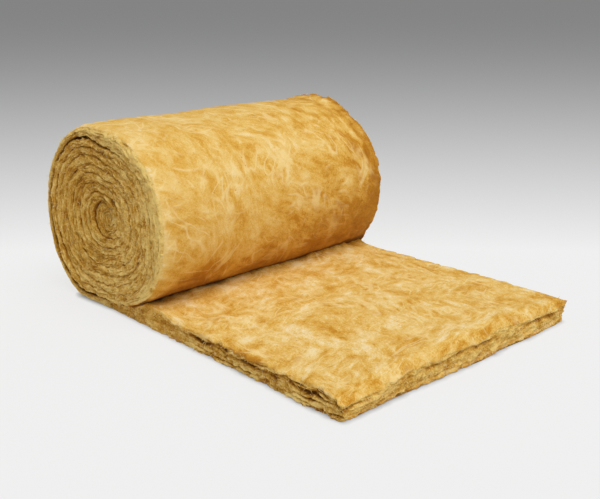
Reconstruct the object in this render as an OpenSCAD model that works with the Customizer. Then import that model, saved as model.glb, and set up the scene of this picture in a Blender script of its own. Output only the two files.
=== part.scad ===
// Roll of glass-wool insulation blanket with its free end laid out flat.
// It is one continuous blanket, wound into a roll that has settled to a slightly flattened oval.
// The last turn leaves the underside of the roll and runs out along the floor, where the squeezed
// wool lofts to its free thickness. One spiral gives both the outside of the last turn and the
// seam between the turns, which shows on the two ends of the roll.
// X runs from the roll to the cut end, Y along the roll's axis, and Z up.
// The origin is on the floor, at the middle of the footprint.

/* [Blanket] */
// Width of the blanket, which is also the length of the roll
blanket_width = 600; // [300:10:1200]
// Thickness of the blanket at its cut end, where it has lofted
free_thickness = 46; // [36:1:100]
// Thickness of one turn in the roll, where the blanket is squeezed
wound_thickness = 19.8; // [12:0.1:26]

/* [Roll] */
// Number of turns in the roll
turns = 10; // [5:0.5:14]
// How much wider than tall the settled roll is
roll_spread = 1.16; // [1:0.01:1.25]
// Shape of the section: 2 is an ellipse, and more fills out its shoulders
roll_fullness = 2.25; // [2:0.05:3]

/* [Laid-out end] */
// Distance from the roll's axis to the cut end
laid_length = 650; // [480:5:1500]
// Angle past the bottom of the roll at which it parts from the laid-out blanket
parting_angle = 17; // [10:1:25]
// Run past the parting line over which the blanket lofts to its free thickness
loft_run = 150; // [60:10:250]

/* [Seam] */
// Gap between the turns, as it shows on the ends of the roll
seam_gap = 3; // [1:0.5:6]
// How deep the gap is open before the turns press together
seam_depth = 12; // [4:1:40]
// Turns from the centre that are curled too tightly to show a gap
core_turns = 0.6; // [0.4:0.1:2]

/* [Hidden] */

wool_colour = [0.87, 0.68, 0.36];
// Straight steps in the outermost turn of the spiral, and in the lofting top of the blanket
turn_steps = 48;
loft_steps = 10;
// Power by which the steps thin out towards the core: 1 would keep them the same on each turn
step_power = 1.5;

// The oval keeps the round roll's area: what its height loses, its width gains.
oval_half_width = sqrt(roll_spread);
oval_half_height = 1 / sqrt(roll_spread);

// Radius of the oval in direction a, for a round roll of radius 1
function oval(a) =
    pow(pow(abs(cos(a)) / oval_half_width, roll_fullness)
        + pow(abs(sin(a)) / oval_half_height, roll_fullness), -1 / roll_fullness);

// Direction from the axis after k turns: the last turn ends straight down
function turn_angle(k) = 360 * (k - turns) - 90;

// Point of the winding spiral after k turns, moved out by shift, with the roll's axis above x = 0
function spiral(k, shift = 0) =
    let (a = turn_angle(k), r = (k * wound_thickness + shift) * oval(a))
    [r * cos(a), axis_height + r * sin(a)];

// Counts of turns from first to last: a turn gets fewer steps the tighter it is
function turn_values(first, last) =
    let (a = pow(first, step_power), b = pow(last, step_power))
    let (steps = ceil((b - a) * turn_steps / (step_power * pow(turns, step_power - 1))))
    [for (i = [0:steps]) pow(a + (b - a) * i / steps, 1 / step_power)];

// Soft rise from 0 to 1
function ease(u) = u * u * (3 - 2 * u);

axis_height = turns * wound_thickness * oval_half_height;
parting_turn = turns - 1 + parting_angle / 360;
parting_line = spiral(parting_turn);

// Outside of the last turn, from the parting line over the top and down to the floor
roll_outline = [for (k = turn_values(parting_turn, turns)) spiral(k)];

// Top of the laid-out blanket, from the cut end back to the parting line
laid_outline = concat(
    [[laid_length, 0], [laid_length, free_thickness]],
    [for (i = [loft_steps:-1:1]) let (u = i / loft_steps)
        parting_line + [u * loft_run, ease(u) * (free_thickness - parting_line.y)]]);

// The roll's axis, set so that the footprint is centred on x = 0
roll_back = max([for (p = roll_outline) -p.x]);
axis_x = (roll_back - laid_length) / 2;

// Section across the roll's axis
module blanket_section() {
    polygon(concat(laid_outline, roll_outline));
}

// Gap between the turns: it opens at the parting line and winds in to the core
module seam_section() {
    values = turn_values(core_turns, parting_turn + seam_gap / (turns * wound_thickness));
    polygon(concat(
        [for (k = values) spiral(k, seam_gap / 2)],
        [for (i = [len(values) - 1:-1:0]) spiral(values[i], -seam_gap / 2)]));
}

// Extrudes a section along the roll's axis, about the middle of its length
module along_axis(length) {
    rotate([90, 0, 0])
        linear_extrude(height = length, center = true)
            children();
}

module wool_blanket() {
    color(wool_colour)
        translate([axis_x, 0, 0])
            difference() {
                along_axis(blanket_width)
                    blanket_section();
                for (side = [-1, 1])
                    translate([0, side * blanket_width / 2, 0])
                        along_axis(2 * seam_depth)
                            seam_section();
            }
}

wool_blanket();
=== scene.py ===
import math

import bpy
import numpy as np
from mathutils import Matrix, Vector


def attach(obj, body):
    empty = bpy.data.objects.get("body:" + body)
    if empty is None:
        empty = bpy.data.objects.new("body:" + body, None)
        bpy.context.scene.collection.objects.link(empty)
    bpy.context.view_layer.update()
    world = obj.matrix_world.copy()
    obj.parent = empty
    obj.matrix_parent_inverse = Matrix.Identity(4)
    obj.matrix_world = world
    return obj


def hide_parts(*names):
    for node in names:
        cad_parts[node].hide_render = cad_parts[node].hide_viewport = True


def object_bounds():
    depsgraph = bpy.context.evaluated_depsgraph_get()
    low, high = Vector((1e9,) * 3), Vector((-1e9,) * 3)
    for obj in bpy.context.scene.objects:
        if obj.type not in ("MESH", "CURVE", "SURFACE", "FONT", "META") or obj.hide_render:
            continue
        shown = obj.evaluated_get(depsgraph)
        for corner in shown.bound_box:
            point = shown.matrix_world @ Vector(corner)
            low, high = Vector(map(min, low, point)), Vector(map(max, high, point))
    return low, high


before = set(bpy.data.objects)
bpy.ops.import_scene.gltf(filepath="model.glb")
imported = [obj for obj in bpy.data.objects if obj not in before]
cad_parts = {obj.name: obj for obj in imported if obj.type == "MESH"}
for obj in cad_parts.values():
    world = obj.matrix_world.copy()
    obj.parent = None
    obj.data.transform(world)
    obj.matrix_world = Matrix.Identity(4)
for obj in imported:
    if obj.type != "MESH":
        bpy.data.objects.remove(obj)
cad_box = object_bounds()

# The wound turns
# One glass-wool blanket is wound up from a tight curl at the core. The wool is spun glass, bound with
# a golden resin. Each turn is squeezed by the next, and the blanket's cut edge shows on both ends.
cad_low, cad_high = np.array(cad_box[0]), np.array(cad_box[1])
near_y, far_y = cad_low[1], cad_high[1]
blanket_width = far_y - near_y
laid_length = 0.650
axis_x = cad_high[0] - laid_length
wound_thickness = 0.0198
turns = 10
roll_spread = 1.16
roll_fullness = 2.25
axis_z = turns * wound_thickness / math.sqrt(roll_spread)
# The curl that the winding started from lies off the middle of the settled roll.
core_x, core_z = 0.030, 0.187
core_turns = 0.45
# The turns lie loosest towards the top of the back.
loose_side = 0.75 * math.pi
# The wool was laid down in layers of about this thickness.
layer_thickness = 0.006


def ease(u):
    """A soft rise from 0 to 1."""
    u = np.clip(u, 0, 1)
    return u * u * (3 - 2 * u)


def bell(x, middle, width):
    """A soft bump with a height of 1."""
    return np.exp(-((x - middle) / width) ** 2)


def between(x, places, values):
    """Values at places, with a soft rise or fall from each to the next."""
    places, values = np.asarray(places, float), np.asarray(values, float)
    i = np.clip(np.searchsorted(places, x, side="right") - 1, 0, len(places) - 2)
    u = ease((x - places[i]) / (places[i + 1] - places[i]))
    return values[i] + (values[i + 1] - values[i]) * u


lattice_draw = np.random.default_rng(20)
lattice_order = np.concatenate([lattice_draw.permutation(256)] * 2)
lattice_slopes = lattice_draw.normal(size=(256, 3))
lattice_slopes /= np.linalg.norm(lattice_slopes, axis=1, keepdims=True)


def lumps(x, y, z=0.0):
    """Smooth noise from about -1 to 1, with one lump to each unit of length."""
    p = np.stack(np.broadcast_arrays(x, y, z), -1).astype(float)
    cell = np.floor(p).astype(int)
    f = p - cell
    cell &= 255
    fade = f * f * f * (f * (6 * f - 15) + 10)
    total = 0.0
    for dx in (0, 1):
        for dy in (0, 1):
            for dz in (0, 1):
                h = lattice_order[cell[..., 0] + dx] + cell[..., 1] + dy
                h = lattice_order[lattice_order[h & 255] + ((cell[..., 2] + dz) & 255)]
                corner = np.array((dx, dy, dz))
                slope = ((f - corner) * lattice_slopes[h]).sum(-1)
                weight = np.where(corner, fade, 1 - fade).prod(-1)
                total = total + slope * weight
    return 1.6 * total


def rough(x, y, z=0.0, octaves=3):
    """Lumps with finer lumps on them."""
    total, size = 0.0, 1.0
    for octave in range(octaves):
        step = 2.0 ** octave
        total = total + size * lumps(x * step + 17.3 * octave, y * step, z * step)
        size *= 0.5
    return total


def clumps(s, y):
    """Soft clumps of wool in the blanket's skin, from about -1 to 1."""
    s, y = s + 0.012 * lumps(s * 12, y * 12, 1.1), y + 0.012 * lumps(s * 12, y * 12, 5.6)
    large = lumps(s * 15, y * 15, 3.3)
    middling = lumps(s * 36, y * 36, 8.1)
    small = lumps(s * 85, y * 85, 12.6)
    return 0.45 * large + 0.55 * middling + 0.30 * small


def length_at(k):
    """Length of blanket in the first k turns."""
    return math.pi * wound_thickness * k * k


def outline(k):
    """Outside of the last turn after k turns, in the roll's section."""
    a = 2 * math.pi * (k - turns) - math.pi / 2
    wide = np.abs(np.cos(a)) / math.sqrt(roll_spread)
    tall = np.abs(np.sin(a)) * math.sqrt(roll_spread)
    r = k * wound_thickness * (wide ** roll_fullness + tall ** roll_fullness) ** (-1 / roll_fullness)
    return r * np.cos(a), axis_z + r * np.sin(a)


outline_x, outline_z = outline(np.linspace(turns - 1, turns, 721))
outline_angle = np.unwrap(np.arctan2(outline_z - core_z, outline_x - core_x))
outline_reach = np.hypot(outline_x - core_x, outline_z - core_z)
first_reach, last_reach = outline_reach[0], outline_reach[-1]

# Thickness of the last turn from the bottom, up the front, over the top, down the back and under.
last_turn_places = (0.0, 0.10, 0.27, 0.52, 0.66, 0.78, 0.90, 1.0)
last_turn_sizes = (first_reach / (turns - 1), 0.026, 0.036, 0.033, 0.021, 0.0165, 0.0165,
                   last_reach - first_reach)


def turn_angle(k):
    return outline_angle[-1] - 2 * math.pi * (turns - k)


def turn_reach(k):
    """Distance from the core to the seam after k turns, or to the roll's outside on the last turn."""
    inside = np.maximum(np.floor(turns - k), 0)
    last = k + inside
    outer = np.interp(turn_angle(last), outline_angle, outline_reach)
    seam = outer - between(last - turns + 1, last_turn_places, last_turn_sizes)
    # The back of the roll is wound more loosely inside than outside.
    looseness = 1 - 0.18 * np.maximum(0, np.cos(turn_angle(k) - math.pi))
    return np.where(inside == 0, outer, seam * (k / (last - 1)) ** looseness)


def seam_gap(k, y):
    """How far two turns stand apart at the seam after k turns."""
    s = length_at(k)
    gap = 0.0002 + 0.0013 * ease(1.7 * rough(s * 11, k * 0.7, y * 5, 2) - 0.45)
    gap = gap * ease((k - 1.0) / 1.8) * (0.65 + 0.55 * np.cos(turn_angle(k) - loose_side))
    # The last turn has sprung open over the top, down the back and at one place on the front,
    # the turn inside it stands off at the back, and the core's curl has shrunk away from its cover.
    sprung = 0.0052 * bell(k, turns - 1.43, 0.09) + 0.0040 * bell(k, turns - 1.69, 0.030)
    sprung = sprung + 0.0016 * bell(k, turns - 2.22, 0.12) + 0.0120 * bell(k, 2.42, 0.10)
    # Down the back and under the roll it has drawn away as a strip of its own.
    strip = 0.0100 * bell(k, turns - 1.17, 0.18) * (1.0 + 0.35 * lumps(s * 24, y * 6))
    return gap + strip + sprung * np.maximum(0.70 + 0.70 * lumps(s * 30, y * 6), 0)


def section_place(k, t, y):
    """Place in the roll's section and the turn's thickness there: t goes from 0 on the blanket's
    outer face to 1 on its inner one."""
    outside = turn_reach(k) - np.where(k > turns - 1, 0, seam_gap(k, y) / 2)
    below = np.maximum(k - 1, 0.02)
    inside = turn_reach(below) + seam_gap(below, y) / 2
    inside = np.where(k < 1.15, np.minimum(inside, 0.75 * outside), inside)
    r = outside + (inside - outside) * t
    a = turn_angle(k)
    return core_x + r * np.cos(a), core_z + r * np.sin(a), outside - inside


def crinkle(x, z, y, amount):
    """Near its ends the roll's turns run in small waves, nested in each other."""
    end = np.minimum(y - near_y, far_y - y)
    amount = amount * np.exp(-np.maximum(end, 0) / 0.035)
    side = np.sign(y) * 3.1
    for size, per_metre in ((0.0026, 22), (0.0026, 58), (0.0021, 105)):
        dx = size * lumps(x * per_metre, z * per_metre, side + per_metre)
        dz = size * lumps(x * per_metre + 9, z * per_metre, side + per_metre)
        x, z = x + dx * amount, z + dz * amount
    return x, z


def spread_at(u):
    """How much wider than wound the roll has sagged, from its near end at u = 0 to its far one at 1."""
    return 1.027 - 0.065 * u


def aside_at(u):
    """How far the roll lies to the front of its axis, from its near end to its far one."""
    return 0.008 - 0.017 * u


def settled(x, z, y):
    """The roll has sagged more at its near end, was wound a little askew and is not quite even."""
    u = (y - near_y) / blanket_width
    f = (np.arctan2(z - axis_z, x) / (2 * math.pi) + 0.25) % 1
    r = np.hypot(x, z - axis_z)
    near_swell = 0.0085 * bell(f, 0.875, 0.075) + 0.0110 * bell(f, 0.915, 0.035)
    near_swell = near_swell - 0.0075 * bell(f, 0.665, 0.065) + 0.0035 * bell(f, 0.54, 0.04)
    far_swell = -0.0125 * bell(f, 0.39, 0.08) + 0.0010 * bell(f, 0.24, 0.06) + 0.0120 * bell(f, 0.105, 0.03)
    middle_swell = 0.0045 * bell(f, 0.52, 0.09) * bell(u, 0.70, 0.28)
    swell = 1 + (near_swell * (1 - u) + far_swell * u ** 2 + middle_swell) / 0.19 * (r / 0.19) ** 2
    tall = 0.997 + (1.010 - 0.997) * u
    return axis_x + x * swell * spread_at(u) + aside_at(u), (axis_z + (z - axis_z) * swell) * tall


def torn_edge(s, t, seed, thick, layer_size, splits):
    """How far the blanket's cut edge stands out, along it and through its thickness.
    The layers of wool wander, part from each other and are pulled out unevenly."""
    depth = t * thick / layer_size
    q = depth + 0.9 * lumps(s * 9, depth * 0.35, seed) + 0.5 * lumps(s * 31, depth * 0.6, seed + 3)
    layer = np.floor(q)
    f = q - layer
    proud = 0.0036 * lumps(s * 15, layer * 7.31, seed + 5) + 0.0026 * lumps(s * 48, layer * 3.17, seed + 8)
    bulge = 0.0014 * (1 - (2 * f - 1) ** 2)
    split = bell(np.minimum(f, 1 - f), 0, 0.15)
    opened = ease(0.25 + 1.1 * lumps(s * 20, np.round(q) * 9.7, seed + 11))
    tuft = 0.0024 * rough(s * 110, depth * 1.6, seed + 13, 2)
    stand = proud + bulge + tuft - 0.0060 * split * opened * splits
    # Next to the blanket's two faces the edge is not drawn in as far as between them.
    return np.maximum(stand, -0.0035 - 0.0065 * (1 - np.abs(2 * t - 1) ** 4))


def wound_points(k, v, t, outside=None):
    """Points, wool coordinates and marks of a wound stretch of blanket."""
    k, v, t = np.broadcast_arrays(k, v, t)
    f = k - (turns - 1)
    s = length_at(k)
    y = near_y + blanket_width * v
    x, z, thick = section_place(k, t, y)
    if outside is not None:
        x, z = outside(x, z, k, t, y)
    # The roll's free outside and the stretch that runs out along the floor stay smooth.
    free = ease(f / 0.12) * (1 - ease(t * thick / 0.025))
    leaving = ease((f - 0.7) / 0.3)
    x, z = crinkle(x, z, y, (1 - 0.8 * free) * (1 - leaving))
    end = np.minimum(v, 1 - v) * blanket_width
    on_edge, on_end = np.exp(-end / 0.006), np.exp(-end / 0.05)
    near = v < 0.5
    seed = np.where(near, 2.0, 31.0)
    # Down the back and under the roll the last turn is a dense, smooth strip.
    strip = ease((f - 0.62) / 0.10)
    stand = (0.8 - 0.6 * strip) * torn_edge(s, t, seed, thick, layer_thickness, 0.5)
    # A turn's edge is tucked in where it meets its neighbours, each turn has slid in or out,
    # the core has sunk in and the outer turn's edge runs askew towards the laid-out end.
    tucked = (0.0030 + 0.0008 * np.cos(turn_angle(k) - loose_side)) * np.abs(2 * t - 1) ** 3
    tucked = tucked * ease((k - 0.8) / 1.6)
    slid = 0.0030 * lumps(s * 3.0, k * 0.9, seed) * (1 - leaving) - 0.006 * (1 - ease((k - 1.6) / 1.2))
    slid = slid - 0.008 * near * ease((f - 0.89) / 0.11)
    y = y + np.where(near, -1, 1) * ((stand - tucked) * on_edge + slid * on_end)
    x, z = settled(x, z, y)
    points = np.stack([x, y, np.maximum(z, 0.0004)], -1)
    wool = np.stack([s, y, t * thick], -1)
    # The cut edge's look reaches a little way over the free skin, and far in between the turns.
    on_skin = (f > 0) & (t < 0.5)
    fluffed = np.maximum(end + 0.0025 * lumps(s * 28, 3.3, seed) + 0.003 * ~near, 0)
    cut_reach = np.where(on_skin, np.where(near, 0.0046, 0.0015), 0.060)
    cut = np.where(end > 0, np.exp(-fluffed / cut_reach), 1)
    # The outer turn's near edge is paler towards its outer face and over the top, partly fluff and partly
    # painted light over the rim's shade; across the end the paleness also wanders from turn to turn.
    fluffy_and_lit = 0.13 * (f > 0) * near * (np.exp(-t / 0.25) + bell(f, 0.45, 0.22))
    fluffy_and_lit = fluffy_and_lit + 0.12 * lumps(k * 0.35, 0.4, seed) + 0.07 * np.cos(turn_angle(k) + 0.6)
    by_strip = strip + bell(k, turns - 1.20, 0.17)
    shaded = np.where(on_skin, 0, (0.40 + 0.25 * by_strip) * ease(end / 0.008))
    # The relief mark sets the edge's colour: recessed and tucked-in places are painted darker as shade, the
    # gaps between the turns darker still, and the outer turn's skin paler, partly as painted light.
    relief = 0.57 + 0.08 * strip + 0.10 * on_skin + fluffy_and_lit - shaded + (stand - 0.6 * tucked) / 0.016
    relief = np.clip(relief, 0, 1)
    # The far rim has turned brown and the near one is pale. Low on the front the skin is painted darker
    # as shade, the front is darker towards the far end, and a painted shadow runs as a dark line along
    # the roll's foot.
    far_rim = np.exp(-np.maximum(far_y - y, 0) / 0.018) * (1.1 + 0.7 * lumps(s * 40, y * 40))
    far_rim = far_rim + 0.45 * bell(far_y - y, 0.045, 0.025) * ease(0.5 + 1.5 * lumps(s * 4, y * 45))
    near_rim = np.exp(-np.maximum(y - near_y, 0) / 0.022) * (0.40 + 0.5 * lumps(s * 25, y * 25))
    # Painted shade: the skin low on the roll's front is darker.
    painted_low_shade = (t < 0.5) * (1 + 0.4 * lumps(s * 30, y * 12)) * 1.05 * bell(f, 0.10, 0.10)
    far_half = 0.08 + 0.60 * ease((v - 0.35) / 0.55) * bell(f, 0.18, 0.22)
    browned_and_shaded = np.clip(far_rim, 0, 1.15) - np.clip(near_rim, 0, 1) + painted_low_shade + far_half
    # Painted shadow: a dark line along the roll's foot, where it meets the laid-out end.
    painted_foot_shadow = (t < 0.5) * bell(f, 0.111 + 0.022 * v + 0.006 * rough(y * 30, 1.5, 2.5, 3), 0.013)
    # In the dents of the clumps the skin is darker and on their swells paler, partly the wool's own tone
    # and partly painted shade and light.
    browned_and_shaded = np.minimum(browned_and_shaded, 1.0) - 0.28 * clumps(s, y) + 1.4 * painted_foot_shadow
    return points, wool, np.stack([cut, relief, browned_and_shaded, 0.60 + 0.22 * v], -1)


def tube(rows, ring):
    """Faces of a tube of rows, each of a ring of points."""
    i = np.arange(rows - 1)[:, None] * ring
    j = np.arange(ring)[None, :]
    j_next = (j + 1) % ring
    return np.stack([i + j, i + j_next, i + ring + j_next, i + ring + j], -1).reshape(-1, 4)


def fan(loop, hub):
    """Triangles from a loop of points to a hub."""
    return np.stack([loop, np.roll(loop, -1), np.full(len(loop), hub)], -1)


mark_names = ("cut", "relief", "browned_and_shaded", "mottled")


def wool_piece(name, points, quads, triangles, wool, marks, smooth=True):
    """A closed mesh with the wool's own coordinates, along the blanket, across it and through it,
    and with marks for its cut edges, how far these stand out (which also sets their painted shade
    and highlights), its brown places and places of painted shade, and its mottling."""
    mesh = bpy.data.meshes.new(name)
    mesh.vertices.add(len(points))
    mesh.vertices.foreach_set("co", points.astype(np.float32).ravel())
    corners = np.concatenate([quads.ravel(), triangles.ravel()])
    starts = np.concatenate([np.arange(len(quads)) * 4, len(quads) * 4 + np.arange(len(triangles)) * 3])
    mesh.loops.add(len(corners))
    mesh.loops.foreach_set("vertex_index", corners.astype(np.int32))
    mesh.polygons.add(len(starts))
    mesh.polygons.foreach_set("loop_start", starts.astype(np.int32))
    mesh.polygons.foreach_set("use_smooth", np.full(len(starts), smooth))
    mesh.update(calc_edges=True)
    mesh.attributes.new("wool", "FLOAT_VECTOR", "POINT").data.foreach_set(
        "vector", wool.astype(np.float32).ravel())
    for column, label in enumerate(mark_names):
        mesh.attributes.new(label, "FLOAT", "POINT").data.foreach_set(
            "value", marks[:, column].astype(np.float32))
    piece = bpy.data.objects.new(name, mesh)
    bpy.context.collection.objects.link(piece)
    return piece


def closed_tube(name, points, wool, marks):
    """A tube of rows and rings, closed with a hub at each end."""
    rows, ring = points.shape[:2]

    def with_hubs(values):
        flat = values.reshape(rows * ring, -1)
        return np.concatenate([flat, values[[0, -1]].mean(axis=1)])

    first = np.arange(ring)[::-1]
    last = (rows - 1) * ring + np.arange(ring)
    caps = np.concatenate([fan(first, rows * ring), fan(last, rows * ring + 1)])
    return wool_piece(name, with_hubs(points), tube(rows, ring), caps, with_hubs(wool), with_hubs(marks))


def ring_round(outer_places, edge_steps, inner_places):
    """Once round the blanket's section: v from 0 to 1 across it and t from 0 to 1 through it.
    It goes out along one face, through the far edge, back along the other and through the near edge."""
    edge = np.linspace(0, 1, edge_steps + 1)[:-1]
    v = np.concatenate([outer_places[:-1], np.ones(edge_steps), inner_places[:0:-1], np.zeros(edge_steps)])
    t = np.concatenate([np.zeros(len(outer_places) - 1), edge, np.ones(len(inner_places) - 1), 1 - edge])
    return v, t


# The hidden faces take only a few columns, most of them close to the ends.
hidden_places = np.array([0, 0.006, 0.025, 0.10, 0.90, 0.975, 0.994, 1])
wound_step = 0.0024
wound_edge_steps = 14
wound_rows = int(length_at(turns - 1) / wound_step)
wound_k = np.sqrt(np.linspace(core_turns ** 2, (turns - 1) ** 2, wound_rows))
wound_v, wound_t = ring_round(hidden_places, wound_edge_steps, hidden_places)
wound_turns = closed_tube("wound_turns", *wound_points(wound_k[:, None], wound_v, wound_t))


def new_group(name, inputs, outputs):
    """A shader node group with these sockets, each given as a name and a kind."""
    group = bpy.data.node_groups.new(name, "ShaderNodeTree")
    for label, kind in inputs:
        group.interface.new_socket(label, in_out="INPUT", socket_type=kind)
    for label, kind in outputs:
        group.interface.new_socket(label, in_out="OUTPUT", socket_type=kind)
    return group, group.nodes.new("NodeGroupInput"), group.nodes.new("NodeGroupOutput")


def add(tree, kind, settings=None, **inputs):
    """A node with its settings and inputs: an input is a number, a colour or another node's output."""
    made = tree.nodes.new(kind)
    for label, value in (settings or {}).items():
        setattr(made, label, value)
    for label, value in inputs.items():
        socket = made.inputs[int(label[1:]) if label[0] == "_" else label.replace("_", " ")]
        if isinstance(value, bpy.types.NodeSocket):
            tree.links.new(value, socket)
        else:
            socket.default_value = value
    return made


def math_of(tree, operation, a, b=0.0, clamp=False):
    return add(tree, "ShaderNodeMath", {"operation": operation, "use_clamp": clamp}, _0=a, _1=b).outputs[0]


def with_share(tree, base, value, share):
    """A base with a share of another value added to it."""
    return math_of(tree, "ADD", base, math_of(tree, "MULTIPLY", value, share))


def noise_of(tree, vector, scale, detail, roughness=0.55):
    return add(tree, "ShaderNodeTexNoise", None, Vector=vector, Scale=scale, Detail=detail,
               Roughness=roughness).outputs["Fac"]


def range_of(tree, value, low, high, to_low=0.0, to_high=1.0):
    return add(tree, "ShaderNodeMapRange", {"interpolation_type": "SMOOTHSTEP"}, Value=value, From_Min=low,
               From_Max=high, To_Min=to_low, To_Max=to_high).outputs[0]


def vector_of(tree, operation, a, b):
    return add(tree, "ShaderNodeVectorMath", {"operation": operation}, _0=a, _1=b).outputs[0]


def stretch_of(tree, vector, turn, stretch):
    """Coordinates turned about the blanket's normal and drawn out along their first axis."""
    turned = add(tree, "ShaderNodeVectorRotate", {"rotation_type": "Z_AXIS"}, Vector=vector, Angle=turn)
    return vector_of(tree, "MULTIPLY", turned.outputs[0], (1 / stretch, 1.0, 1.0))


def swayed(tree, vector, scale, amount):
    """Coordinates pushed about by a soft noise."""
    push = add(tree, "ShaderNodeTexNoise", None, Vector=vector, Scale=scale, Detail=1.0).outputs["Color"]
    push = vector_of(tree, "SUBTRACT", push, (0.5, 0.5, 0.5))
    return vector_of(tree, "ADD", vector, vector_of(tree, "MULTIPLY", push, (amount, amount, amount)))


def mixed(tree, factor, first, second):
    return add(tree, "ShaderNodeMix", {"data_type": "RGBA"}, _0=factor, _6=first, _7=second).outputs[2]


def plain_mix(tree, factor, first, second):
    return add(tree, "ShaderNodeMix", None, _0=factor, _2=first, _3=second).outputs[0]


def ramp_of(tree, value, *stops):
    """Colours from dark to light, each at its place on a scale from 0 to 1."""
    ramp = add(tree, "ShaderNodeValToRGB", None, Fac=value)
    elements = ramp.color_ramp.elements
    for place, colour in stops[2:]:
        elements.new(1.0)
    for element, (place, colour) in zip(elements, stops):
        element.position = place
        element.color = (*colour, 1)
    return ramp.outputs["Color"]


# The spun glass settles in gauzy sheets that were combed in many directions, one over the other.
clouds, clouds_in, clouds_out = new_group(
    "wool clouds", [("Wool", "NodeSocketVector")],
    [("Tone", "NodeSocketFloat"), ("Strand", "NodeSocketFloat"), ("Height", "NodeSocketFloat")])
flow = swayed(clouds, swayed(clouds, clouds_in.outputs["Wool"], 6.0, 0.050), 22.0, 0.018)
along = stretch_of(clouds, flow, 0.2, 2.2)
aslant = stretch_of(clouds, flow, 1.2, 2.2)
sheet = range_of(clouds, noise_of(clouds, flow, 5.0, 2.0), 0.42, 0.58)
cloud = plain_mix(clouds, sheet, noise_of(clouds, along, 24.0, 10.0, 0.67),
                  noise_of(clouds, aslant, 24.0, 10.0, 0.67))
veil = plain_mix(clouds, sheet, noise_of(clouds, along, 80.0, 6.0, 0.64),
                 noise_of(clouds, aslant, 80.0, 6.0, 0.64))
fuzz = noise_of(clouds, flow, 330.0, 3.0, 0.7)
strand = None
for turn, scale in ((0.2, 26.0), (0.9, 34.0), (1.5, 22.0), (2.6, 30.0)):
    moved = vector_of(clouds, "ADD", flow, (turn, 3 * turn, 5 * turn))
    level = noise_of(clouds, stretch_of(clouds, moved, turn, 4.0), scale, 1.0)
    level = math_of(clouds, "ABSOLUTE", math_of(clouds, "SUBTRACT", level, 0.5))
    patch = range_of(clouds, noise_of(clouds, moved, 10.0, 3.0), 0.50, 0.64)
    thread = math_of(clouds, "MULTIPLY", range_of(clouds, level, 0.0, 0.045, 1.0, 0.0), patch)
    strand = thread if strand is None else math_of(clouds, "MAXIMUM", strand, thread)
tone = with_share(clouds, math_of(clouds, "MULTIPLY", cloud, 0.50), veil, 0.30)
tone = with_share(clouds, tone, fuzz, 0.24)
clouds.links.new(range_of(clouds, tone, 0.39, 0.65), clouds_out.inputs["Tone"])
clouds.links.new(strand, clouds_out.inputs["Strand"])
height = with_share(clouds, with_share(clouds, veil, fuzz, 0.5), strand, 0.2)
clouds.links.new(height, clouds_out.inputs["Height"])

amber_wool = (0.56, 0.240, 0.016)
golden_wool = (0.735, 0.42, 0.075)
pale_wool = (0.825, 0.565, 0.185)
cream_wool = (0.92, 0.755, 0.45)
brown_wool = (0.42, 0.170, 0.012)
toasted_and_shaded_wool = (0.33, 0.120, 0.008)
deep_wool = (0.22, 0.085, 0.008)
thread_wool = (0.92, 0.70, 0.32)
resin_wool = (0.70, 0.35, 0.045)
straw_wool = (0.66, 0.36, 0.055)
straw_tip = (0.93, 0.67, 0.22)

glass_wool = bpy.data.materials.new("glass wool")
glass_wool.use_nodes = True
tree = glass_wool.node_tree
skin = tree.nodes["Principled BSDF"]
wool_place = add(tree, "ShaderNodeAttribute", {"attribute_name": "wool"}).outputs["Vector"]
marks = {}
for label in mark_names:
    marks[label] = add(tree, "ShaderNodeAttribute", {"attribute_name": label}).outputs["Fac"]
wool = add(tree, "ShaderNodeGroup", {"node_tree": clouds}, Wool=wool_place).outputs

# The faces: amber, gold and cream clouds, pale threads and a few brown specks of burnt resin.
spread = math_of(tree, "MULTIPLY", math_of(tree, "SUBTRACT", wool["Tone"], 0.5), marks["mottled"])
spread = with_share(tree, math_of(tree, "ADD", spread, 0.5), marks["browned_and_shaded"], -0.45)
fine = noise_of(tree, stretch_of(tree, wool_place, 1.3, 1.6), 430.0, 2.0, 0.6)
spread = with_share(tree, spread, math_of(tree, "SUBTRACT", fine, 0.5), 0.40)
face = ramp_of(tree, spread, (0.0, amber_wool), (0.34, golden_wool), (0.66, pale_wool), (1.0, cream_wool))
# Brown places and painted shade turn the faces toasted.
browning_and_shade = range_of(tree, marks["browned_and_shaded"], 0.35, 1.10, 0.0, 0.80)
toasted_and_shaded = ramp_of(tree, wool["Tone"], (0.1, toasted_and_shaded_wool), (0.9, amber_wool))
face = mixed(tree, browning_and_shade, face, toasted_and_shaded)
thread_share = math_of(tree, "SUBTRACT", 0.62, math_of(tree, "MULTIPLY", browning_and_shade, 0.72))
threads = math_of(tree, "MULTIPLY", wool["Strand"], thread_share)
face = mixed(tree, threads, face, (*thread_wool, 1))
# The darkest marks, mostly the painted shade along and under the roll's foot, turn deep brown.
face = mixed(tree, range_of(tree, marks["browned_and_shaded"], 1.15, 1.7), face, (*deep_wool, 1))
speck = range_of(tree, noise_of(tree, wool_place, 210.0, 1.0), 0.73, 0.78)
face = mixed(tree, math_of(tree, "MULTIPLY", speck, 0.8), face, (*brown_wool, 1))

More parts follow.
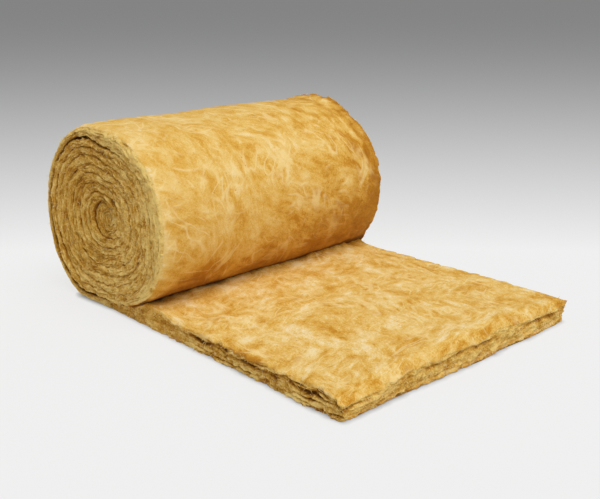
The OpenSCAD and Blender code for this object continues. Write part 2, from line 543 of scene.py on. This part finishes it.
# The cut edges: straw-coloured layers, painted deep and brown as shade where they lie back between
# the layers, and pale at their tips where they stand out, partly the fibres' own colour and partly
# a painted highlight.
layered = vector_of(tree, "MULTIPLY", swayed(tree, wool_place, 60.0, 0.010), (0.22, 0.22, 1.0))
lines = math_of(tree, "SUBTRACT", noise_of(tree, layered, 260.0, 3.0, 0.6), 0.5)
fluff = math_of(tree, "SUBTRACT", noise_of(tree, wool_place, 290.0, 4.0, 0.74), 0.5)
grain = with_share(tree, math_of(tree, "MULTIPLY", lines, 0.8), fluff, 1.1)
burnt = range_of(tree, noise_of(tree, wool_place, 34.0, 3.0), 0.50, 0.68)
patchy = math_of(tree, "SUBTRACT", noise_of(tree, wool_place, 48.0, 3.0), 0.5)
standing = math_of(tree, "ADD", marks["relief"], with_share(tree, grain, patchy, 0.85))
edge = ramp_of(tree, standing, (0.06, deep_wool), (0.28, brown_wool), (0.52, straw_wool), (0.84, straw_tip))
edge = mixed(tree, math_of(tree, "MULTIPLY", burnt, 0.32), edge, (*resin_wool, 1))
frayed = range_of(tree, with_share(tree, marks["cut"], fluff, 0.9), 0.38, 0.62)
tree.links.new(mixed(tree, frayed, face, edge), skin.inputs["Base Color"])
face_height = math_of(tree, "MULTIPLY", wool["Height"], 0.8)
edge_height = math_of(tree, "MULTIPLY", grain, 2.0)
bump = add(tree, "ShaderNodeBump", None, Strength=0.7, Distance=0.002,
           Height=plain_mix(tree, frayed, face_height, edge_height))
tree.links.new(bump.outputs[0], skin.inputs["Normal"])


def matt_fibre(shader):
    """Spun glass scatters light in all directions, with a faint warm sheen."""
    shader.inputs["Roughness"].default_value = 0.95
    shader.inputs["Specular IOR Level"].default_value = 0.10
    shader.inputs["Sheen Weight"].default_value = 0.06
    shader.inputs["Sheen Roughness"].default_value = 0.5
    shader.inputs["Sheen Tint"].default_value = (1.0, 0.82, 0.50, 1)


matt_fibre(skin)


def finished(piece, material):
    """A wool piece rides on the part's one body and stands for its one solid."""
    piece.data.materials.append(material)
    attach(piece, "root")
    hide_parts("wool_blanket")


finished(wound_turns, glass_wool)

# The outer turn
# It is the last turn of the same blanket, and nothing presses on it from outside. So it has lofted
# over the front and the top, and its skin of resin-bound fibres shows clouds and wisps.
outer_step = 0.0031
outer_columns = 170
outer_edge_steps = 24


def dense_at_ends(count, crowding):
    """Places from 0 to 1 that lie closer together towards both ends."""
    u = np.linspace(0, 1, count + 1)
    return u - crowding * np.sin(2 * math.pi * u) / (2 * math.pi)


def outer_skin(x, z, k, t, y):
    """Soft dents and swells of the roll's outside, its rounded rims and the flare of its far rim."""
    f = k - (turns - 1)
    free = ease(f / 0.10) * ease((1 - f) / 0.10) * (1 - t)
    s = length_at(k)
    swell = 0.0032 * lumps(s * 6, y * 6, 3.3) + 0.0015 * clumps(s, y)
    end = np.minimum(y - near_y, far_y - y)
    rim = np.where(y < 0, -0.0065, 0.0005) * np.clip(1 - end / 0.022, 0, 1) ** 2
    ragged = np.where(y < 0, 0.0024, 0.0034) * rough(s * 55, 0.7, np.sign(y), 3)
    rim = rim + ragged * np.exp(-np.maximum(end, 0) / 0.008)
    flare = 0.0070 * ease(1 - (far_y - y) / 0.060) * bell(f, 0.57, 0.13)
    lift = free * (swell + rim + flare)
    a = turn_angle(k)
    return x + lift * np.cos(a), z + lift * np.sin(a)


outer_rows = int((length_at(turns) - length_at(turns - 1)) / outer_step)
outer_k = np.sqrt(np.linspace((turns - 1) ** 2, turns ** 2, outer_rows))
outer_v, outer_t = ring_round(dense_at_ends(outer_columns, 0.5), outer_edge_steps, hidden_places)
outer_turn = closed_tube("outer_turn", *wound_points(outer_k[:, None], outer_v, outer_t, outer_skin))
finished(outer_turn, glass_wool)

# The laid-out end
# The blanket's free end lies on the floor, cut square across with a knife. Clear of the roll's weight
# the wool lofts to its full thickness, and its edges show the torn layers that it was laid down in.
laid_step = 0.0023
laid_columns = 180
laid_edge_steps = 34
laid_hidden = np.linspace(0, 1, 21)
# Its layers have lofted to this thickness.
laid_layer = 0.0085
squeezed = wound_thickness / math.sqrt(roll_spread)


def loft(x, u):
    """Thickness of the laid-out blanket: it is fullest along its middle."""
    free = 0.041 + 0.005 * u + 0.012 * np.sin(math.pi * u) * ease(x / 0.5)
    free = free + 0.0018 * lumps(x * 7, u * 4, 4.4) + 0.009 * bell(x, 0.10, 0.06) * u ** 3
    run = 0.155 - 0.055 * u
    return squeezed + (free - squeezed) * ease(x / run)


def under_roll(x, u):
    """Height of the roll's settled outside over the blanket, close to the line where they part."""
    sx, sz = outline(np.linspace(turns - 1, turns - 0.8, 60))
    return np.interp((x - aside_at(u)) / spread_at(u), sx, sz, right=1.0)


def laid_points(x, u, t):
    """Points, wool coordinates and marks of the laid-out end, from x along, u across and t through."""
    x, u, t = np.broadcast_arrays(x, u, t)
    y = near_y + blanket_width * u
    near, far, end = u * blanket_width, (1 - u) * blanket_width, laid_length - x
    on_near, on_far, on_end = (np.exp(-np.maximum(d, 0) / 0.006) for d in (near, far, end))
    by_near, by_far, by_end = (np.exp(-np.maximum(d, 0) / 0.05) for d in (near, far, end))
    corner = np.exp(-(far + end) / 0.06)
    # The wool is pushed up where the roll sits on it.
    foot = 0.0085 * bell(x, 0.124 - 0.003 * u, 0.016)
    foot = foot * np.maximum(0.7 + 1.1 * rough(y * 30, 0.4, 5.1, 4), 0)
    tufts = 0.0070 * ease((x - 0.04) / 0.02) * np.maximum(rough(y * 45, 0.3, 2.9, 3), 0)
    thick = np.minimum(loft(x, u) + foot, under_roll(x, u) + tufts - 0.0004)
    clear = ease((x - 0.05) / 0.06)
    top = thick + clear * 0.0019 * clumps(length_at(turns) + x, y)
    side_lip = 0.0030 * np.clip(1 - near / 0.010, 0, 1) ** 2 + 0.0045 * np.clip(1 - far / 0.020, 0, 1) ** 2
    end_lip = 0.0060 * np.clip(1 - end / 0.018, 0, 1) ** 2 * (1 - corner)
    wavy = 0.0040 * on_near * rough(x * 24, 3.5, 0.0, 3) + 0.0045 * by_near * lumps(x * 11, 2.2, 8.8)
    end_wave = 0.0030 * lumps(y * 13, 6.2, 1.8) + 0.0018 * lumps(y * 31, 6.2, 4.8)
    wavy = wavy + by_end * end_wave * (1 - corner)
    hanging = bell(x, 0.43, 0.055) + 0.6 * bell(x, 0.28, 0.03) + 0.5 * bell(x, 0.56, 0.03)
    droop = 0.0050 * hanging * np.exp(-near / 0.010)
    z = t * (top - clear * (side_lip + end_lip + droop - wavy))
    s = length_at(turns) + x
    # Away from the roll the near edge's layers have parted, and the cut end is fluffier than the sides.
    parted = 0.10 + 0.9 * ease((x - 0.20) / 0.22)
    stand_near = (0.30 + 0.70 * parted) * torn_edge(s, t, 2.0, thick, laid_layer, parted)
    stand_far = torn_edge(s, t, 31.0, thick, laid_layer, 0.8)
    stand_end = 0.65 * torn_edge(y * 1.4, t, 57.0, thick, laid_layer, 0.1)
    stand_end = stand_end + 0.0030 * rough(y * 55, t * thick * 75, 4.1, 3)
    end_crevice = bell(t, 0.60 + 0.08 * lumps(y * 9, 2.4, 6.1), 0.07)
    end_crevice = end_crevice * ease(0.3 + 1.6 * lumps(y * 14, 5.5, 3.1))
    stand_end = stand_end - 0.0065 * end_crevice
    # The skin juts out in a ragged fringe, the wool under it is pulled back, and the bottom is ragged too.
    skinned = ease((t - 0.84) / 0.1)
    fringe = skinned * (0.0010 + 0.0080 * rough(x * 28, 0.5, 7.7, 4))
    fringe = fringe * ease((x - 0.05) / 0.20) * (1 - corner)
    fringe = fringe + skinned * hanging * (0.0030 + 0.0030 * rough(x * 70, 0.5, 2.7, 2))
    crevice = bell(t, 0.60 + 0.09 * lumps(x * 9, 7.1, 2.2) + 0.06 * lumps(x * 45, 1.4, 3.9), 0.08)
    drawn = 0.0105 * crevice * ease(0.25 + 1.5 * lumps(x * 17, 3.3, 1.7)) * ease((x - 0.15) / 0.2)
    drawn = drawn + 0.0060 * crevice * hanging
    tails = 0.0042 * ease(1 - t / 0.22) * rough(x * 55, y * 55, 3.2, 3) * ease(x / 0.15)
    # The near edge runs a little out of square, and the far corner is undercut below its skin.
    askew = 0.0115 - 0.0155 * x / laid_length
    undercut = 0.009 * (1 - t) ** 1.3 * ease((x - laid_length + 0.12) / 0.12)
    y = y - on_near * (stand_near * (1 - 0.8 * skinned) + fringe + tails - drawn) + by_near * askew
    y = y + on_far * (stand_far * (1 - 0.8 * skinned) + fringe + tails) - by_far * (undercut + 0.001)
    y = y + 0.001 * corner * skinned
    # Towards the top the cut end is skin that has rolled over, and its lowest layers are drawn in.
    rolled = 0.0075 * np.clip((t - 0.66) / 0.34, 0, 1) ** 2 * (1 - corner)
    low = (0.0045 - 0.0040 * ease((u - 0.2) / 0.2)) * ease(1 - t / 0.35)
    wave = 0.003 + 0.004 * lumps(u * 5, 0.3, 9.2)
    end_out = stand_end * (1 - 0.75 * ease((t - 0.66) / 0.2)) + 0.7 * tails
    x_out = x + on_end * end_out + by_end * (wave - rolled - low + 0.001 * corner * skinned)
    x_out = x_out - 0.45 * undercut * by_end * by_far
    join = 1 - ease(x / 0.15)
    x_out = axis_x + x_out + join * (aside_at(u) + 0.0028 * t)
    points = np.stack([x_out, y, np.maximum(z, 0.0)], -1)
    # The skin is bunched up towards the cuts.
    bunched_s = s + 0.060 * np.exp(-np.maximum(end, 0) / 0.030)
    bunched_y = y - 0.030 * np.exp(-np.maximum(near, 0) / 0.018) * ease(x / 0.15)
    wool = np.stack([bunched_s, bunched_y, (1 - t) * thick], -1)
    ragged = t + 0.10 * rough(y * 40, x * 40, 6.6, 2)
    fluff = 0.004 * np.maximum(lumps(x * 60, 1.2, 4.4), -0.3)
    cut_sides = np.exp(-np.maximum(np.minimum(near, far) - fluff, 0) / 0.004) * (1 - 0.6 * skinned)
    cut_end = np.exp(-end / 0.004) * (1 - 0.8 * ease((ragged - 0.66) / 0.12))
    cut_end = cut_end * (1 - 0.6 * ease((0.26 - ragged) / 0.12))
    cut = np.maximum(cut_sides, cut_end)
    weight = on_near + on_far + on_end + 1e-9
    stand = (on_near * (stand_near - 0.9 * drawn) + on_far * stand_far + on_end * stand_end) / weight
    softened = on_end / weight
    bulging = 0.10 * on_near * ease((0.50 - t) / 0.1) * hanging
    # The relief mark sets the edges' colour: where an edge lies back or is drawn in it is painted darker as
    # shade, and where it stands out it is paler.
    relief = 0.52 + 0.09 * softened * (1 + ease((t - 0.6) / 0.2)) + bulging
    relief = np.clip(relief + stand / (0.0095 + 0.0105 * softened), 0, 1)
    # The cut end is golden at its top and bottom, and the skin has turned brown at the far edge and on
    # the hanging fringe. Under the roll and in a narrow band beside its foot the skin is painted darker
    # as shade.
    browned_and_shaded = 0.40 * on_end * (0.7 * ease((t - 0.6) / 0.2) + 1.5 * ease(1 - t / 0.3))
    browned_and_shaded = browned_and_shaded + 0.25 * np.exp(-far / 0.012) - 0.02
    # Painted shade under the roll. In the dents of the clumps the skin is darker and on their swells paler,
    # partly the wool's own tone and partly painted shade and light.
    browned_and_shaded = browned_and_shaded + 1.4 * ease((0.105 - 0.030 * u - x) / 0.025) - 0.45 * clumps(s, y)
    browned_and_shaded = browned_and_shaded + 1.1 * skinned * hanging * np.exp(-near / 0.007)
    # Painted shade in a narrow band beside the roll's foot.
    browned_and_shaded = browned_and_shaded + 0.60 * bell(x, 0.134 - 0.003 * u, 0.013)
    return points, wool, np.stack([cut, relief, browned_and_shaded, np.full_like(cut, 0.95)], -1)


def stitched(first, second):
    """Triangles between two rows with different numbers of points."""
    made, i, j = [], 0, 0
    while i < len(first) - 1 or j < len(second) - 1:
        second_done = j == len(second) - 1
        first_behind = (i + 1) * (len(second) - 1) <= (j + 1) * (len(first) - 1)
        if second_done or (i < len(first) - 1 and first_behind):
            made.append((first[i], first[i + 1], second[j]))
            i += 1
        else:
            made.append((first[i], second[j + 1], second[j]))
            j += 1
    return np.array(made)


laid_rows = int(laid_length / laid_step)
laid_x = np.linspace(0, laid_length, laid_rows)
laid_top = dense_at_ends(laid_columns, 0.45)
laid_v, laid_t = ring_round(laid_hidden, laid_edge_steps, laid_top)
ring = len(laid_v)
sides = laid_points(laid_x[:, None], laid_v, laid_t)
# The cut end's inner points fill the last ring.
end_t = np.linspace(0, 1, laid_edge_steps + 1)[1:-1]
end_grid = laid_points(laid_length, laid_top[1:-1], end_t[:, None])
last = (laid_rows - 1) * ring
base = laid_rows * ring
under_count = len(laid_hidden) - 1
under = last + np.arange(under_count + 1)
far_side = last + under_count + np.arange(laid_edge_steps + 1)
over = last + (under_count + laid_edge_steps + np.arange(laid_columns + 1))[::-1]
near_side = last + np.concatenate([[0], np.arange(ring - 1, ring - laid_edge_steps - 1, -1)])
inner = base + np.arange(len(end_t) * (laid_columns - 1)).reshape(len(end_t), -1)
levels = [np.concatenate([[near_side[j + 1]], inner[j], [far_side[j + 1]]]) for j in range(len(end_t))]
levels.append(over)
end_quads = np.concatenate([np.stack([low[:-1], low[1:], high[1:], high[:-1]], -1)
                            for low, high in zip(levels, levels[1:])])
start_hub = base + inner.size
laid_triangles = np.concatenate([fan(np.arange(ring)[::-1], start_hub), stitched(under, levels[0])])


def laid_all(part):
    """Values of the sides, the cut end and the hidden hub, in the mesh's order."""
    values = sides[part].reshape(base, -1)
    end_values = end_grid[part].reshape(inner.size, -1)
    hub_value = values[:ring].mean(axis=0)[None, :]
    return np.concatenate([values, end_values, hub_value])


laid_end = wool_piece("laid_end", laid_all(0), np.concatenate([tube(laid_rows, ring), end_quads]),
                      laid_triangles, laid_all(1), laid_all(2))
finished(laid_end, glass_wool)

# Loose fibres
# Short ends of fibre stand out of every cut edge in tufts.
# They are the same spun glass, held only by the resin where they enter the wool.
fibre_draw = np.random.default_rng(7)
shortest_fibre, longest_fibre = 0.002, 0.005
thinnest_tuft, thickest_tuft = 0.0005, 0.0011
# Fibres lie this far above the floor at least.
fibre_clearance = 0.0015


def fibre_piece(name, paths, outward, widths, flatness, wool, marks):
    """Thin flattened three-sided tubes that taper to a point at both ends, all in one mesh."""
    count, steps = paths.shape[:2]
    along = np.gradient(paths, axis=1)
    along /= np.linalg.norm(along, axis=2, keepdims=True) + 1e-12
    across = np.cross(along, outward)
    across /= np.linalg.norm(across, axis=2, keepdims=True) + 1e-12
    upright = np.cross(across, along)
    taper = np.sin(np.linspace(0.12, math.pi - 0.12, steps)) ** 0.5
    radius = 0.5 * widths[:, None] * taper[None, :]
    rings = []
    for corner in range(3):
        a = math.pi / 2 - corner * 2 * math.pi / 3
        rings.append(paths + radius[..., None] * (math.cos(a) * across + flatness * math.sin(a) * upright))
    body = np.stack(rings, axis=2).reshape(count, steps * 3, 3)
    root_tip = paths[:, 0] - along[:, 0] * widths[:, None]
    free_tip = paths[:, -1] + along[:, -1] * widths[:, None]
    points = np.concatenate([body, np.stack([root_tip, free_tip], axis=1)], axis=1)
    size = steps * 3 + 2
    starts = np.arange(count)[:, None, None] * size
    quads = (tube(steps, 3)[None] + starts).reshape(-1, 4)
    root_cap = fan(np.array([2, 1, 0]), steps * 3)
    free_cap = fan((steps - 1) * 3 + np.arange(3), steps * 3 + 1)
    triangles = (np.concatenate([root_cap, free_cap])[None] + starts).reshape(-1, 3)

    def on_points(values):
        body_values = np.repeat(values, 3, axis=1)
        with_tips = np.concatenate([body_values, values[:, :1], values[:, -1:]], axis=1)
        return with_tips.reshape(count * size, -1)

    return wool_piece(name, points.reshape(-1, 3), quads, triangles, on_points(wool), on_points(marks),
                      smooth=False)


loose_strand = bpy.data.materials.new("loose strand")
loose_strand.use_nodes = True
tree = loose_strand.node_tree
strand_skin = tree.nodes["Principled BSDF"]
strand_place = add(tree, "ShaderNodeAttribute", {"attribute_name": "wool"}).outputs["Vector"]
strand_pale = add(tree, "ShaderNodeAttribute", {"attribute_name": "relief"}).outputs["Fac"]
strand_wool = add(tree, "ShaderNodeGroup", {"node_tree": clouds}, Wool=strand_place).outputs
under_strand = ramp_of(tree, strand_wool["Tone"], (0.0, golden_wool), (0.6, pale_wool), (1.0, cream_wool))
tree.links.new(mixed(tree, strand_pale, under_strand, (*cream_wool, 1)), strand_skin.inputs["Base Color"])
matt_fibre(strand_skin)


def short_ends(name, surface, outward):
    """Short curled fibres that stand out of a cut edge."""
    points, wool, marks = surface
    count = len(points)
    steps = 5
    lean = fibre_draw.normal(0, 0.8, (count, 3))
    heading = np.array(outward) * 0.5 + lean
    heading /= np.linalg.norm(heading, axis=1, keepdims=True)
    curl = fibre_draw.normal(0, 0.6, (count, 3))
    reach = fibre_draw.uniform(shortest_fibre, longest_fibre, count)
    u = np.linspace(0, 1, steps)[None, :, None]
    curled = heading[:, None, :] * u + curl[:, None, :] * u ** 2
    paths = points[:, None, :] + reach[:, None, None] * curled
    paths = paths - 0.0012 * np.array(outward)
    paths[..., 2] = np.maximum(paths[..., 2], fibre_clearance)
    side = np.cross(heading, fibre_draw.normal(size=(count, 3)))
    marks = marks.copy()
    marks[:, 1] = fibre_draw.uniform(0.0, 0.8, count)
    widths = fibre_draw.uniform(thinnest_tuft, thickest_tuft, count)

    def along_path(values):
        return np.repeat(values[:, None, :], steps, axis=1)

    return fibre_piece(name, paths, along_path(side), widths, 0.7, along_path(wool), along_path(marks))


end_count = 2200
for label, v, outward in (("near_end_fibres", 0.0, (0, -1, 0)), ("far_end_fibres", 1.0, (0, 1, 0))):
    end_k = np.sqrt(fibre_draw.uniform(1.0, (turns - 0.02) ** 2, end_count))
    through = fibre_draw.uniform(0, 1, end_count)
    finished(short_ends(label, wound_points(end_k, v, through, outer_skin), outward), loose_strand)

edge_count = 600
for label, u, outward in (("near_edge_fibres", 0.0, (0, -1, 0)), ("far_edge_fibres", 1.0, (0, 1, 0))):
    edge_x = fibre_draw.uniform(0.02, laid_length, edge_count)
    through = fibre_draw.uniform(0, 1, edge_count)
    finished(short_ends(label, laid_points(edge_x, u, through), outward), loose_strand)
cut_u = fibre_draw.uniform(0, 1, edge_count)
# The cut end's upper quarter is smooth skin.
through = fibre_draw.uniform(0, 0.75, edge_count)
finished(short_ends("cut_end_fibres", laid_points(laid_length, cut_u, through), (1, 0, 0)), loose_strand)

# Floor, light and camera
# A plain pale floor whose paint falls away to grey as a painted pool of light, an even soft light from
# above and in front, and the camera.
camera_azimuth = math.radians(46.754)
camera_dip = math.radians(16.388)
floor_mesh = bpy.data.meshes.new("floor")
floor_reach = 60.0
floor_mesh.from_pydata([(-floor_reach, -floor_reach, 0), (floor_reach, -floor_reach, 0),
                        (floor_reach, floor_reach, 0), (-floor_reach, floor_reach, 0)], [], [(0, 1, 2, 3)])
floor = bpy.data.objects.new("floor", floor_mesh)
bpy.context.collection.objects.link(floor)
floor_paint = bpy.data.materials.new("floor paint")
floor_paint.use_nodes = True
tree = floor_paint.node_tree
floor_bright = 0.871
floor_dark = 0.23
# The paint is palest round a point this far in front of the roll, a painted pool of light, and fades out
# past its reach.
front = 5.66
pale_reach = 5.3
pale_fall = 3.35
pale_middle = (front * math.sin(camera_azimuth), -front * math.cos(camera_azimuth), 0)
place = add(tree, "ShaderNodeNewGeometry").outputs["Position"]
away = add(tree, "ShaderNodeVectorMath", {"operation": "DISTANCE"}, _0=place, _1=pale_middle)
paint = math_of(tree, "POWER", math_of(tree, "DIVIDE", pale_reach, away.outputs["Value"]), pale_fall)
paint = math_of(tree, "MINIMUM", math_of(tree, "ADD", paint, floor_dark), floor_bright)
matt_floor = add(tree, "ShaderNodeBsdfDiffuse", None, Color=paint)
# Close to the wool the floor is in its shade.
shade = add(tree, "ShaderNodeAmbientOcclusion", {"samples": 16}, Distance=0.012).outputs["AO"]
shade = math_of(tree, "ADD", math_of(tree, "MULTIPLY", shade, 0.85), 0.15)
lit_floor = add(tree, "ShaderNodeEmission", None, Color=math_of(tree, "MULTIPLY", paint, shade))


def seen_directly(tree):
    """1 for a look at the studio by the camera, in a gloss or through glass, and 0 for its light."""
    path = add(tree, "ShaderNodeLightPath").outputs
    looked = math_of(tree, "ADD", path["Is Camera Ray"], path["Is Glossy Ray"])
    return math_of(tree, "ADD", looked, path["Is Transmission Ray"], clamp=True)


seen = seen_directly(tree)
shadow_share = 0.15
floor_mix = add(tree, "ShaderNodeMixShader", None, _0=math_of(tree, "MULTIPLY", seen, 1 - shadow_share),
                _1=matt_floor.outputs[0], _2=lit_floor.outputs[0])
tree.links.new(floor_mix.outputs[0], tree.nodes["Material Output"].inputs["Surface"])
floor_mesh.materials.append(floor_paint)


def soft_light(name, towards, strength, spread):
    """A broad even light from far off."""
    lamp = bpy.data.lights.new(name, "SUN")
    lamp.energy = strength
    lamp.angle = math.radians(spread)
    holder = bpy.data.objects.new(name, lamp)
    holder.rotation_mode = "QUATERNION"
    holder.rotation_quaternion = Vector(towards).to_track_quat("-Z", "Y")
    bpy.context.collection.objects.link(holder)


soft_light("top_light", (-0.42, 0.08, -0.90), 1.85, 45)
world = bpy.data.worlds.new("studio")
world.use_nodes = True
tree = world.node_tree
studio = tree.nodes["Background"]
studio.inputs["Color"].default_value = (1, 1, 1, 1)
# Past the floor's end the studio looks as grey as the floor does there.
studio_light = 0.45
tree.links.new(plain_mix(tree, seen_directly(tree), studio_light, floor_dark), studio.inputs["Strength"])
bpy.context.scene.world = world
bpy.context.scene.view_settings.view_transform = "Standard"

camera_place = (axis_x + 1.45450, near_y - 0.84231, 0.60247)
camera_focal_px = 887.19
photo_width_px = 600
camera_data = bpy.data.cameras.new("camera")
camera_data.sensor_width = 36.0
camera_data.lens = camera_focal_px / photo_width_px * camera_data.sensor_width
camera = bpy.data.objects.new("camera", camera_data)
camera.location = camera_place
camera.rotation_euler = (math.pi / 2 - camera_dip, 0, camera_azimuth)
bpy.context.collection.objects.link(camera)
bpy.context.scene.camera = camera
